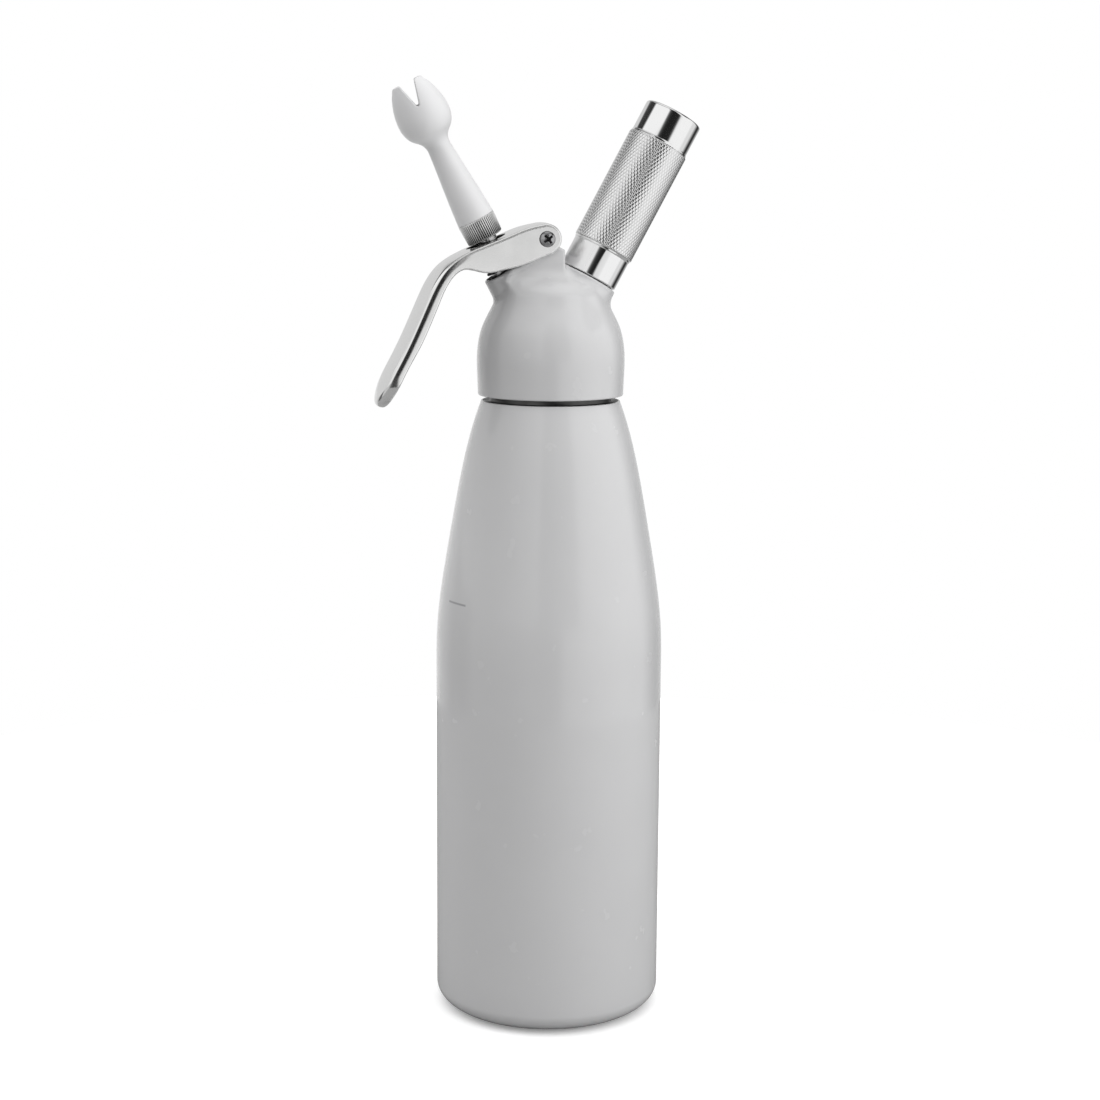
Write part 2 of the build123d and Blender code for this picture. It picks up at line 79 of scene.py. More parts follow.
# ---------------------------------------------------------------- curves and profiles
class Spline:
    """Cubic spline y(x) with set or natural end slopes."""

    def __init__(self, x, y, d0=None, d1=None):
        x, y = np.asarray(x, float), np.asarray(y, float)
        n, h = len(x), np.diff(x)
        A, b = np.zeros((n, n)), np.zeros(n)
        for i in range(1, n - 1):
            A[i, i - 1], A[i, i], A[i, i + 1] = h[i - 1], 2 * (h[i - 1] + h[i]), h[i]
            b[i] = 6 * ((y[i + 1] - y[i]) / h[i] - (y[i] - y[i - 1]) / h[i - 1])
        if d0 is None:
            A[0, 0] = 1
        else:
            A[0, 0], A[0, 1], b[0] = 2 * h[0], h[0], 6 * ((y[1] - y[0]) / h[0] - d0)
        if d1 is None:
            A[-1, -1] = 1
        else:
            A[-1, -1], A[-1, -2], b[-1] = 2 * h[-1], h[-1], 6 * (d1 - (y[-1] - y[-2]) / h[-1])
        self.x, self.y, self.h, self.m = x, y, h, np.linalg.solve(A, b)

    def __call__(self, t):
        t = np.clip(t, self.x[0], self.x[-1])
        i = np.clip(np.searchsorted(self.x, t) - 1, 0, len(self.h) - 1)
        h, u = self.h[i], t - self.x[i]
        w = h - u
        m0, m1 = self.m[i], self.m[i + 1]
        return (m0 * w ** 3 + m1 * u ** 3) / (6 * h) + (self.y[i] / h - m0 * h / 6) * w + (self.y[i + 1] / h - m1 * h / 6) * u


def through(pts, step=0.25):
    """Points along a smooth curve through pts."""
    p = np.asarray(pts, float)
    t = np.concatenate([[0], np.cumsum(np.hypot(*np.diff(p, axis=0).T))])
    u = np.linspace(0, t[-1], max(int(t[-1] / step), 8))
    return np.stack([Spline(t, p[:, 0])(u), Spline(t, p[:, 1])(u)], 1)


def eased(pts, radii, n=5):
    """The line of points with its corners rounded. radii is one number, or one for each point."""
    p = [np.asarray(q, float) for q in pts]
    rr = [radii] * len(p) if np.isscalar(radii) else list(radii)
    out = [p[0]]
    for i in range(1, len(p) - 1):
        a, b = p[i - 1] - p[i], p[i + 1] - p[i]
        la, lb = np.linalg.norm(a), np.linalg.norm(b)
        if rr[i] <= 0 or la < 1e-6 or lb < 1e-6:
            out.append(p[i])
            continue
        a, b = a / la, b / lb
        c = np.clip(a @ b, -1, 1)
        half = math.acos(c) / 2
        if half > math.radians(88):
            out.append(p[i])
            continue
        t = min(rr[i] / math.tan(half), 0.45 * la, 0.45 * lb)
        r = t * math.tan(half)
        centre = p[i] + (a + b) / np.linalg.norm(a + b) * (r / math.sin(half))
        s, e = p[i] + a * t - centre, p[i] + b * t - centre
        s0 = math.atan2(s[1], s[0])
        d = (math.atan2(e[1], e[0]) - s0 + math.pi) % (2 * math.pi) - math.pi
        out += [centre + r * np.array([math.cos(s0 + d * k / n), math.sin(s0 + d * k / n)]) for k in range(n + 1)]
    out.append(p[-1])
    return np.array(out)


# ---------------------------------------------------------------- meshes
def build(name, verts, faces, body, material, nodes=(), normals=None, weighted=False):
    me = bpy.data.meshes.new(name)
    me.from_pydata((np.asarray(verts, float) * MM).tolist(), [], [list(map(int, f)) for f in faces])
    if normals is None:
        bm = bmesh.new()
        bm.from_mesh(me)
        bmesh.ops.remove_doubles(bm, verts=bm.verts, dist=1e-6)
        bm.to_mesh(me)
        bm.free()
    me.validate()
    me.shade_smooth()
    if normals is not None and len(normals) == len(me.vertices):
        me.normals_split_custom_set_from_vertices(np.asarray(normals, float).tolist())
    o = bpy.data.objects.new(name, me)
    bpy.context.scene.collection.objects.link(o)
    me.materials.append(material)
    if weighted:
        w = o.modifiers.new("shading", "WEIGHTED_NORMAL")
        w.weight, w.keep_sharp = 60, True
    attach(o, body)
    if nodes:
        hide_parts(*nodes)
    return o


def to_row(frame_, u, v, s):
    o, U, V, W = frame_
    return o + u[..., None] * U + v[..., None] * V + s[..., None] * W


def lathe(profile, frame_=ROW, n=160, radius=None, spin=0.0, closed=False):
    """Turned surface. profile goes up the outside and down the inside. radius(theta, r, s) may change r."""
    p = np.asarray(profile, float)
    th = spin + np.arange(n) * 2 * math.pi / n
    R, T = np.meshgrid(p[:, 0], th, indexing="ij")
    Sg = np.meshgrid(p[:, 1], th, indexing="ij")[0]
    if radius is not None:
        R = radius(T, R, Sg)
    v = to_row(frame_, R * np.cos(T), R * np.sin(T), Sg).reshape(-1, 3)
    i, j = np.meshgrid(np.arange(len(p) - (0 if closed else 1)), np.arange(n), indexing="ij")
    i2, j2 = (i + 1) % len(p), (j + 1) % n
    f = np.stack([i * n + j, i * n + j2, i2 * n + j2, i2 * n + j], -1).reshape(-1, 4)
    return v, f


def joined(*parts):
    vs, fs, k = [], [], 0
    for v, f in parts:
        vs.append(np.asarray(v))
        fs += [[a + k for a in q] for q in f]
        k += len(v)
    return np.concatenate(vs), fs


def cap(ring, flip=False):
    return [list(ring)[::-1] if flip else list(ring)]


# ---------------------------------------------------------------- implicit surfaces
def seg_sdf(pts, X, Y):
    """Signed distance to a closed polygon, negative inside."""
    p = np.asarray(pts, float)
    q = np.roll(p, -1, 0)
    best, inside = np.full(X.shape, 1e18), np.zeros(X.shape, bool)
    for (x0, y0), (x1, y1) in zip(p, q):
        dx, dy = x1 - x0, y1 - y0
        l2 = dx * dx + dy * dy
        if l2 < 1e-12:
            continue
        t = np.clip(((X - x0) * dx + (Y - y0) * dy) / l2, 0, 1)
        best = np.minimum(best, (X - x0 - t * dx) ** 2 + (Y - y0 - t * dy) ** 2)
        if y0 != y1:
            inside ^= ((y0 > Y) != (y1 > Y)) & (X < (x1 - x0) * (Y - y0) / (y1 - y0) + x0)
    d = np.sqrt(best)
    return np.where(inside, -d, d)


class Flat:
    """A polygon's distance, kept on a fine grid and read between its points."""

    def __init__(self, pts, lo, hi, step=0.2):
        self.lo, self.step = np.array(lo, float), step
        nx, ny = int((hi[0] - lo[0]) / step) + 2, int((hi[1] - lo[1]) / step) + 2
        X, Y = np.meshgrid(lo[0] + step * np.arange(nx), lo[1] + step * np.arange(ny), indexing="ij")
        self.g = seg_sdf(pts, X, Y)

    def __call__(self, x, y):
        a, b = (x - self.lo[0]) / self.step, (y - self.lo[1]) / self.step
        a, b = np.clip(a, 0, self.g.shape[0] - 1.001), np.clip(b, 0, self.g.shape[1] - 1.001)
        i, j = a.astype(int), b.astype(int)
        a, b = a - i, b - j
        g = self.g
        return (g[i, j] * (1 - a) + g[i + 1, j] * a) * (1 - b) + (g[i, j + 1] * (1 - a) + g[i + 1, j + 1] * a) * b


def r_and(a, b, r):
    """Both, with edges rounded to r."""
    return np.minimum(np.maximum(a, b), -r) + np.hypot(np.maximum(a + r, 0), np.maximum(b + r, 0))


def r_or(a, b, r):
    """Either, with a fillet of r between."""
    return np.maximum(np.minimum(a, b), r) - np.hypot(np.maximum(r - a, 0), np.maximum(r - b, 0))


def r_cut(a, b, r):
    return r_and(a, -b, r)


def surface(fn, lo, hi, h):
    """Surface nets of fn's zero level, moved onto it, with normals from its slope."""
    lo, hi = np.array(lo, float), np.array(hi, float)
    n = np.ceil((hi - lo) / h).astype(int) + 1
    ax = [lo[k] + h * np.arange(n[k]) for k in range(3)]
    F = np.empty(tuple(n), np.float32)
    for k in range(0, n[0], 24):
        X, Y, Z = np.meshgrid(ax[0][k:k + 24], ax[1], ax[2], indexing="ij")
        F[k:k + 24] = fn(X, Y, Z)
    inside = F < 0
    c = np.zeros(tuple(n - 1), np.int8)
    for dx in (0, 1):
        for dy in (0, 1):
            for dz in (0, 1):
                c += inside[dx:n[0] - 1 + dx, dy:n[1] - 1 + dy, dz:n[2] - 1 + dz]
    I, J, K = np.nonzero((c > 0) & (c < 8))
    idx = np.full(tuple(n - 1), -1, np.int64)
    idx[I, J, K] = np.arange(len(I))
    acc, cnt = np.zeros((len(I), 3)), np.zeros(len(I))
    for axis in range(3):
        o1, o2 = [a for a in range(3) if a != axis]
        for a in (0, 1):
            for b in (0, 1):
                d0 = np.zeros(3, int)
                d0[o1], d0[o2] = a, b
                d1 = d0.copy()
                d1[axis] = 1
                f0 = F[I + d0[0], J + d0[1], K + d0[2]].astype(float)
                f1 = F[I + d1[0], J + d1[1], K + d1[2]].astype(float)
                m = (f0 < 0) != (f1 < 0)
                t = np.where(m, f0 / np.where(m, f0 - f1, 1), 0)
                p = np.stack([I, J, K], 1) + d0
                p = p.astype(float)
                p[:, axis] += t
                acc += p * m[:, None]
                cnt += m
    P = lo + h * acc / cnt[:, None]

    def slope(P, e=0.12):
        g = np.empty_like(P)
        for k in range(3):
            a, b = P.copy(), P.copy()
            a[:, k] += e
            b[:, k] -= e
            g[:, k] = (fn(*a.T) - fn(*b.T)) / (2 * e)
        return g

    for _ in range(3):
        g = slope(P)
        f = fn(*P.T)
        step = f / np.maximum((g ** 2).sum(1), 0.2)
        P -= np.clip(step, -0.4 * h, 0.4 * h)[:, None] * g
    quads = []
    for axis in range(3):
        o1, o2 = [(1, 2), (2, 0), (0, 1)][axis]
        sl0, sl1 = [slice(None)] * 3, [slice(None)] * 3
        sl0[axis], sl1[axis] = slice(0, -1), slice(1, None)
        a, b = inside[tuple(sl0)], inside[tuple(sl1)]
        ii = np.argwhere(a != b)
        ii = ii[(ii[:, o1] > 0) & (ii[:, o2] > 0) & (ii[:, o1] < n[o1] - 1) & (ii[:, o2] < n[o2] - 1)]
        flip = ~a[tuple(ii.T)]

        def at(d1, d2):
            q = ii.copy()
            q[:, o1] -= d1
            q[:, o2] -= d2
            return idx[tuple(q.T)]

        q = np.stack([at(1, 1), at(0, 1), at(0, 0), at(1, 0)], 1)
        q[flip] = q[flip][:, ::-1]
        quads.append(q)
    Q = np.concatenate(quads)
    Q = Q[(Q >= 0).all(1)]
    N = slope(P, 0.2)
    N /= np.maximum(np.linalg.norm(N, axis=1, keepdims=True), 1e-9)
    return P, Q, N


def local(frame_, X, Y, Z):
    o, U, V, W = frame_
    x, y, z = X - o[0], Y - o[1], Z - o[2]
    return x * U[0] + y * U[1] + z * U[2], x * V[0] + y * V[1] + z * V[2], x * W[0] + y * W[1] + z * W[2]


# ---------------------------------------------------------------- materials
class Mat:
    def __init__(self, name, base, rough, metal=0.0, **sockets):
        self.m = bpy.data.materials.new(name)
        self.m.use_nodes = True
        self.t = self.m.node_tree
        self.p = self.t.nodes["Principled BSDF"]
        self.base, self.rough = base, rough
        self.p.inputs["Metallic"].default_value = metal
        for k, v in sockets.items():
            self.p.inputs[k.replace("_", " ")].default_value = v
        self.co = self.t.nodes.new("ShaderNodeTexCoord").outputs["Object"]
        self.colour, self.bump = None, None

    def node(self, kind, **props):
        n = self.t.nodes.new("ShaderNode" + kind)
        for k, v in props.items():
            setattr(n, k, v)
        return n

    def link(self, a, b):
        self.t.links.new(a, b)

    def math(self, op, a, b=None, c=None):
        n = self.node("Math", operation=op)
        for k, v in enumerate((a, b, c)):
            if v is None:
                continue
            if isinstance(v, (int, float)):
                n.inputs[k].default_value = v
            else:
                self.link(v, n.inputs[k])
        return n.outputs[0]

    def noise(self, scale, detail=2.0, rough=0.5, vector=None, dims="3D", w=None):
        n = self.node("TexNoise", noise_dimensions=dims)
        n.inputs["Scale"].default_value = scale
        n.inputs["Detail"].default_value = detail
        n.inputs["Roughness"].default_value = rough
        if dims == "1D":
            self.link(w, n.inputs["W"])
        else:
            self.link(vector or self.co, n.inputs["Vector"])
        return n.outputs[0]

    def span(self, x, a, b, c, d):
        n = self.node("MapRange")
        n.clamp = True
        self.link(x, n.inputs["Value"])
        for k, v in zip(("From Min", "From Max", "To Min", "To Max"), (a, b, c, d)):
            n.inputs[k].default_value = v
        return n.outputs[0]

    def mix(self, fac, a, b):
        n = self.node("Mix", data_type="RGBA")
        if isinstance(fac, (int, float)):
            n.inputs[0].default_value = fac
        else:
            self.link(fac, n.inputs[0])
        for s, v in ((6, a), (7, b)):
            if isinstance(v, tuple):
                n.inputs[s].default_value = (*v, 1)
            else:
                self.link(v, n.inputs[s])
        return n.outputs[2]

    def vary(self, scale, amount, detail=3.0):
        """Slight lighter and darker patches in the base colour."""
        f = self.span(self.noise(scale, detail), 0.3, 0.7, 0, 1)
        lo = tuple(max(c * (1 - amount), 0) for c in self.base)
        hi = tuple(min(c * (1 + amount), 1) for c in self.base)
        self.colour = self.mix(f, lo, hi)
        return self

    def rough_vary(self, scale, amount, detail=3.0):
        f = self.span(self.noise(scale, detail), 0.3, 0.7, self.rough * (1 - amount), self.rough * (1 + amount))
        self.link(f, self.p.inputs["Roughness"])
        return self

    def relief(self, height, strength, distance):
        n = self.node("Bump")
        n.inputs["Strength"].default_value = strength
        n.inputs["Distance"].default_value = distance
        self.link(height, n.inputs["Height"])
        if self.bump is not None:
            self.link(self.bump, n.inputs["Normal"])
        self.bump = n.outputs[0]
        return self

    def along(self, frame_):
        """Distance along an axis, in metres."""
        o, _, _, W = frame_
        s = self.node("VectorMath", operation="SUBTRACT")
        self.link(self.co, s.inputs[0])
        s.inputs[1].default_value = tuple(float(c) * MM for c in o)
        d = self.node("VectorMath", operation="DOT_PRODUCT")
        self.link(s.outputs[0], d.inputs[0])
        d.inputs[1].default_value = tuple(float(c) for c in W)
        return d.outputs["Value"]

    def away(self, frame_):
        """Distance from an axis, in metres."""
        o, _, _, W = frame_
        s = self.node("VectorMath", operation="SUBTRACT")
        self.link(self.co, s.inputs[0])
        s.inputs[1].default_value = tuple(float(c) * MM for c in o)
        x = self.node("VectorMath", operation="CROSS_PRODUCT")
        self.link(s.outputs[0], x.inputs[0])
        x.inputs[1].default_value = tuple(float(c) for c in W)
        n = self.node("VectorMath", operation="LENGTH")
        self.link(x.outputs[0], n.inputs[0])
        return n.outputs["Value"]

    def shade(self, fac, dark):
        """Colour goes to dark times itself where fac is 1."""
        low = tuple(c * dark for c in self.base)
        self.colour = self.mix(fac, self.colour, low)
        return self

    def done(self):
        if self.colour is None:
            self.p.inputs["Base Color"].default_value = (*self.base, 1)
        else:
            self.link(self.colour, self.p.inputs["Base Color"])
        if not self.p.inputs["Roughness"].is_linked:
            self.p.inputs["Roughness"].default_value = self.rough
        if self.bump is not None:
            self.link(self.bump, self.p.inputs["Normal"])
        return self.m


def turned(name, base, rough, frame_, pitch=0.00012, metal=1.0, depth=0.00002, **kw):
    """Lathe-turned metal: fine rings across the axis, with slight colour and roughness variation."""
    m = Mat(name, base, rough, metal, **kw).vary(160, 0.05).rough_vary(260, 0.25)
    s = m.along(frame_)
    m.relief(m.noise(1.0 / pitch, 2.0, 0.6, dims="1D", w=s), 0.35, depth)
    return m.done()


# white gloss paint: faint orange peel, tiny variation
paint = Mat("white_paint", (0.54, 0.54, 0.545), 0.24, 0.0, Coat_Weight=0.8, Coat_Roughness=0.04, Coat_IOR=1.42,
            Specular_IOR_Level=0.3).vary(35, 0.012)
paint.rough_vary(120, 0.15)
paint.relief(paint.noise(420, 2.0), 0.03, 0.0002)
head_paint = paint.done()

bottle_mat = Mat("bottle_paint", (0.54, 0.54, 0.545), 0.24, 0.0, Coat_Weight=0.8, Coat_Roughness=0.04, Coat_IOR=1.42,
                 Specular_IOR_Level=0.3).vary(35, 0.012)
bottle_mat.rough_vary(120, 0.15)
bottle_mat.relief(bottle_mat.noise(420, 2.0), 0.03, 0.0002)
# plain fill-level line, printed round a short arc
sep = bottle_mat.node("SeparateXYZ")
bottle_mat.link(bottle_mat.co, sep.inputs[0])
az = bottle_mat.math("ARCTAN2", sep.outputs[1], sep.outputs[0])
LINE_AZ, LINE_HALF, LINE_Z = math.radians(-158.0), math.radians(8.0), 0.1592
da = bottle_mat.math("ABSOLUTE", bottle_mat.math("SUBTRACT", az, LINE_AZ))
dz = bottle_mat.math("ABSOLUTE", bottle_mat.math("SUBTRACT", sep.outputs[2], LINE_Z))
mark = bottle_mat.math("MULTIPLY", bottle_mat.span(da, LINE_HALF - 0.002, LINE_HALF + 0.002, 1, 0),
                       bottle_mat.span(dz, 0.00032, 0.00042, 1, 0))
bottle_mat.colour = bottle_mat.mix(bottle_mat.math("MULTIPLY", mark, 0.55), bottle_mat.colour, (0.16, 0.16, 0.17))
bottle_paint = bottle_mat.done()

bare = turned("bare_aluminium", (0.72, 0.72, 0.71), 0.32, ROW, 0.00018)
neck_m = Mat("neck_aluminium", (0.62, 0.62, 0.61), 0.36, 1.0).vary(160, 0.06).rough_vary(260, 0.25)
z_neck = neck_m.along(ROW)
neck_m.relief(neck_m.noise(1.0 / 0.00018, 2.0, 0.6, dims="1D", w=z_neck), 0.35, 0.00002)
# painted shade: the root of the neck is darkened, for the shadow in the gap under the head
neck_m.shade(neck_m.math("MULTIPLY", neck_m.span(z_neck, 0.2350, 0.2362, 1, 0), neck_m.span(z_neck, 0.2312, 0.2318, 0, 1)), 0.16)
neck_metal = neck_m.done()
lever_m = Mat("polished_aluminium", (0.88, 0.88, 0.875), 0.12, 1.0).vary(60, 0.02)
# the cheeks' edges are duller, to soften the line along them
n_lev, x_bare = lever_m.node("SeparateXYZ"), lever_m.node("SeparateXYZ")
lever_m.link(lever_m.node("NewGeometry").outputs["Normal"], n_lev.inputs[0])
lever_m.link(lever_m.co, x_bare.inputs[0])
side = lever_m.math("ABSOLUTE", n_lev.outputs[1])
edge = lever_m.math("MULTIPLY", lever_m.span(side, 0.9985, 0.9998, 1, 0), lever_m.span(side, 0.3, 0.5, 0, 1))
edge = lever_m.math("MULTIPLY", edge, lever_m.span(x_bare.outputs[0], -0.042, -0.034, 0, 0.26))
spots = lever_m.span(lever_m.noise(90, 3.0), 0.3, 0.7, 0.096, 0.144)
lever_m.link(lever_m.math("ADD", spots, edge), lever_m.p.inputs["Roughness"])
lever_m.relief(lever_m.noise(900, 3.0), 0.02, 0.0001)
lever_metal = lever_m.done()
# the inside of the lever's channel is the same metal as the outside; its darker base colour is painted shade
lever_i = Mat("inside_aluminium_painted_shade", (0.42, 0.42, 0.42), 0.46, 1.0).vary(120, 0.08).rough_vary(200, 0.2)
x_lev = lever_i.node("SeparateXYZ")
lever_i.link(lever_i.co, x_lev.inputs[0])
# painted shade: darkened further round the valve, for the shadow in the gap under the cheek
lever_i.shade(lever_i.span(x_lev.outputs[0], -0.042, -0.034, 0, 1), 0.1)
lever_i.relief(lever_i.noise(700, 3.0), 0.1, 0.0001)
lever_inside = lever_i.done()
chrome = Mat("bright_chrome", (0.86, 0.86, 0.86), 0.055, 1.0).vary(70, 0.015).rough_vary(150, 0.3).done()
grip_m = Mat("chromed_holder", (0.86, 0.86, 0.86), 0.055, 1.0).vary(70, 0.015)
# painted shade: a little darker down in the knurl's grooves
s_grip = grip_m.along(CHG)
on_grip = grip_m.math("MULTIPLY", grip_m.span(s_grip, 0.0119, 0.0121, 0, 1), grip_m.span(s_grip, 0.0548, 0.0550, 1, 0))
deep = grip_m.span(grip_m.away(CHG), 0.01147, 0.01152, 1, 0)
grip_m.shade(grip_m.math("MULTIPLY", grip_m.math("MULTIPLY", on_grip, deep), 0.6), 0.7)
# the lower band is duller on the side by the lever, to soften the lever's reflection in it
u_grip = grip_m.along((CHG[0], None, None, CHG[1]))
dull = grip_m.math("MULTIPLY", grip_m.span(u_grip, -0.0052, -0.0038, 0.26, 0), grip_m.span(s_grip, 0.0112, 0.0118, 1, 0))
spots = grip_m.span(grip_m.noise(150, 3.0), 0.3, 0.7, 0.0385, 0.0715)
grip_m.link(grip_m.math("ADD", spots, dull), grip_m.p.inputs["Roughness"])
grip_metal = grip_m.done()
flute_m = Mat("knurled_steel", (0.92, 0.92, 0.915), 0.34, 1.0).vary(160, 0.05).rough_vary(260, 0.25)
s_fl = flute_m.along(NOZ)
on_fl = flute_m.math("MULTIPLY", flute_m.span(s_fl, 0.0006, 0.0008, 0, 1), flute_m.span(s_fl, 0.0077, 0.0079, 1, 0))
# painted shade: the flutes' grooves are darkened nearly to black
flute_m.shade(flute_m.math("MULTIPLY", on_fl, flute_m.span(flute_m.away(NOZ), 0.00668, 0.00690, 1, 0)), 0.03)
knurl_ring = flute_m.done()
# near-black steel for the spring cap and spring: painted shade for the dark under the lever's plate
dark_m = Mat("steel_painted_shade", (0.02, 0.02, 0.021), 0.6, 0.0, Specular_IOR_Level=0.25).vary(200, 0.1).rough_vary(240, 0.2)
dark_m.relief(dark_m.noise(900, 3.0), 0.08, 0.0001)
dark_steel = dark_m.done()
screw_m = Mat("screw_steel", (0.36, 0.36, 0.365), 0.16, 1.0).vary(500, 0.12).rough_vary(500, 0.25)
y_screw = screw_m.math("ABSOLUTE", screw_m.along((np.array([PIVOT[0], 0, PIVOT[1]]), None, None, np.array([0, 1.0, 0]))))
r_screw = screw_m.away((np.array([PIVOT[0], 0, PIVOT[1]]), None, None, np.array([0, 1.0, 0])))
# painted shade: the cross recess is black inside, and the head's rim is darker
cone = screw_m.math("SUBTRACT", y_screw, screw_m.math("MULTIPLY", r_screw, -0.32))
screw_m.shade(screw_m.math("MAXIMUM", screw_m.span(cone, 0.01262, 0.01276, 1, 0), screw_m.span(r_screw, 0.00255, 0.0029, 0, 0.6)), 0.06)
screw_metal = screw_m.done()
steel_n = turned("turned_steel_nozzle", (0.5, 0.5, 0.5), 0.16, NOZ)
steel_c = turned("turned_steel_port", (0.6, 0.6, 0.59), 0.26, CHG)
steel_p = turned("turned_steel_pivot", (0.6, 0.6, 0.6), 0.28, (np.array([PIVOT[0], 0, PIVOT[1]]), None, None, np.array([0, 1.0, 0])))
brass = turned("turned_brass", (0.66, 0.47, 0.19), 0.26, CHG)
cart = Mat("cartridge_steel", (0.62, 0.62, 0.61), 0.36, 1.0).vary(120, 0.06).rough_vary(200, 0.2)
cart.relief(cart.noise(500, 4.0), 0.08, 0.0001)
cartridge = cart.done()
tp = Mat("tip_plastic", (0.66, 0.66, 0.665), 0.36, 0.0, IOR=1.49).vary(70, 0.012).rough_vary(300, 0.15)
tp.relief(tp.noise(900, 2.0), 0.05, 0.0001)
tip_plastic = tp.done()
ip = Mat("inner_plastic", (0.66, 0.66, 0.63), 0.5, 0.0).vary(90, 0.03).rough_vary(200, 0.15)
ip.relief(ip.noise(900, 2.0), 0.06, 0.0001)
inner_plastic = ip.done()
si = Mat("silicone", (0.30, 0.30, 0.29), 0.55, 0.0).vary(120, 0.06).rough_vary(240, 0.2)
si.relief(si.noise(1400, 2.0), 0.12, 0.0001)
silicone = si.done()

for node, m in {"head_gasket": silicone, "pivot_bush": steel_p, "piston": steel_n, "valve_seal": silicone,
                "stem_seal": silicone, "stem_guide": inner_plastic, "spring_cap": dark_steel, "valve_spring": dark_steel,
                "piercing_pin": steel_c, "inlet_seal": silicone, "check_nipple": brass, "check_sleeve": silicone,
                "gas_charger": cartridge}.items():
    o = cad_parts[node]
    o.data.materials.clear()
    o.data.materials.append(m)

# ---------------------------------------------------------------- bottle
shoulder = np.array([(42.3, 145.5), (41.7, 152.9), (40.78, 160.6), (39.65, 168.2), (38.45, 175.8), (37.12, 183.3),
                     (35.78, 190.9), (34.42, 198.4), (32.98, 205.9), (31.3, 213.4), (29.4, 220.9), (27.75, 226.2),
                     (26.6, 229.6), (25.95, 231.4)])
Z0 = 134.0
tt = (shoulder[:, 1] - Z0) / 100.0
basis = np.stack([tt ** k for k in (2, 3, 4, 5, 6, 7)], 1)
coef = np.linalg.lstsq(basis, shoulder[:, 0] - 42.5, rcond=None)[0]
zs = np.linspace(Z0, 231.3, 90)
rs = 42.5 + np.stack([((zs - Z0) / 100.0) ** k for k in (2, 3, 4, 5, 6, 7)], 1) @ coef
base_arc = [(32.7 + 9.8 * math.sin(a), 7.5 - 7.5 * math.cos(a)) for a in np.linspace(0, math.pi / 2, 22)]
foot = eased([(0.0, 6.8), (8.0, 6.7), (19.4, 4.6), (26.2, 1.0), (28.4, 0.02), (30.0, 0.0), (32.7, 0.0)],
             [0, 8, 12, 3, 1.0, 0, 0], 6)
skin = list(foot) + base_arc[1:] + [(42.5, z) for z in np.linspace(12, Z0 - 4, 30)] + list(zip(rs, zs))
skin += list(eased([skin[-1], (25.75, 231.95), (25.2, 232.0)], [0, 0.3, 0], 4)[1:])
v, f = lathe(skin, n=224)
build("bottle_skin", v, f, "bottle", bottle_paint, ["bottle"])


def thread(pitch, z0, z1, root, crest, sign=1, crest_w=0.8, flank=0.75):
    """Radius of one helical ridge that fades in and out at its ends."""

    def radius(T, R, Sg):
        ph = (Sg - z0 - pitch * T / (2 * math.pi)) / pitch
        d = np.abs(ph - np.round(ph)) * pitch
        k = np.clip((crest_w / 2 + flank - d) / flank, 0, 1)
        k = k * k * (3 - 2 * k)
        turns = np.round(ph)
        a = (turns * pitch + pitch * T / (2 * math.pi))
        ends = np.clip(a / (0.3 * pitch), 0, 1) * np.clip((z1 - z0 - a) / (0.3 * pitch), 0, 1)
        on = (Sg >= z0 - 1.6) & (Sg <= z1 + 1.6) & (np.abs(R - root) < 1e-3)
        return np.where(on, root + (crest - root) * k * ends, R)

    return radius


inner = [(25.2, 225.0), (27.55, 219.2), (29.5, 212.2), (31.2, 204.8), (32.65, 197.4), (34.0, 189.9), (35.35, 182.3),
         (36.65, 174.8), (37.85, 167.2), (38.95, 159.6), (39.85, 152.2), (40.45, 145.2), (40.7, 138.0)]
inner = [tuple(p) for p in through([(20.2, 231.6), (22.6, 228.6)] + inner, 2.5)]
neck = [(25.2, 232.0), (23.2, 231.7), (22.75, 231.8), (22.6, 232.2), (22.6, 233.2)] + [(22.6, z) for z in np.arange(233.4, 247.4, 0.2)]
neck += list(eased([(22.6, 247.6), (21.8, 249.0), (20.6, 249.0), (20.2, 248.6), (20.2, 232.4)], [0, 0.3, 0.3, 0.3, 0], 3))
neck += inner + [(40.7, z) for z in (120.0, 90.0, 60.0, 30.0, 12.0)]
neck += [tuple(p) for p in through([(40.7, 9.6), (38.4, 4.0), (33.0, 1.9), (28.6, 2.9), (20.0, 6.2), (10.0, 8.2), (0.0, 8.6)], 1.2)]
v, f = lathe(neck, n=200, radius=thread(3.0, 236.4, 245.0, 22.6, 23.5))
build("bottle_neck", v, f, "bottle", neck_metal, ["bottle"])

# ---------------------------------------------------------------- head casting
side = Spline([234.0, 237.6, 242.0, 246.9, 250.7, 254.2, 257.9, 261.6, 264.8, 267.6, 270.6, 274.0, 278.0],
              [26.95, 27.08, 27.25, 27.38, 27.2, 26.75, 25.86, 24.34, 22.7, 21.35, 20.2, 18.9, 17.0])


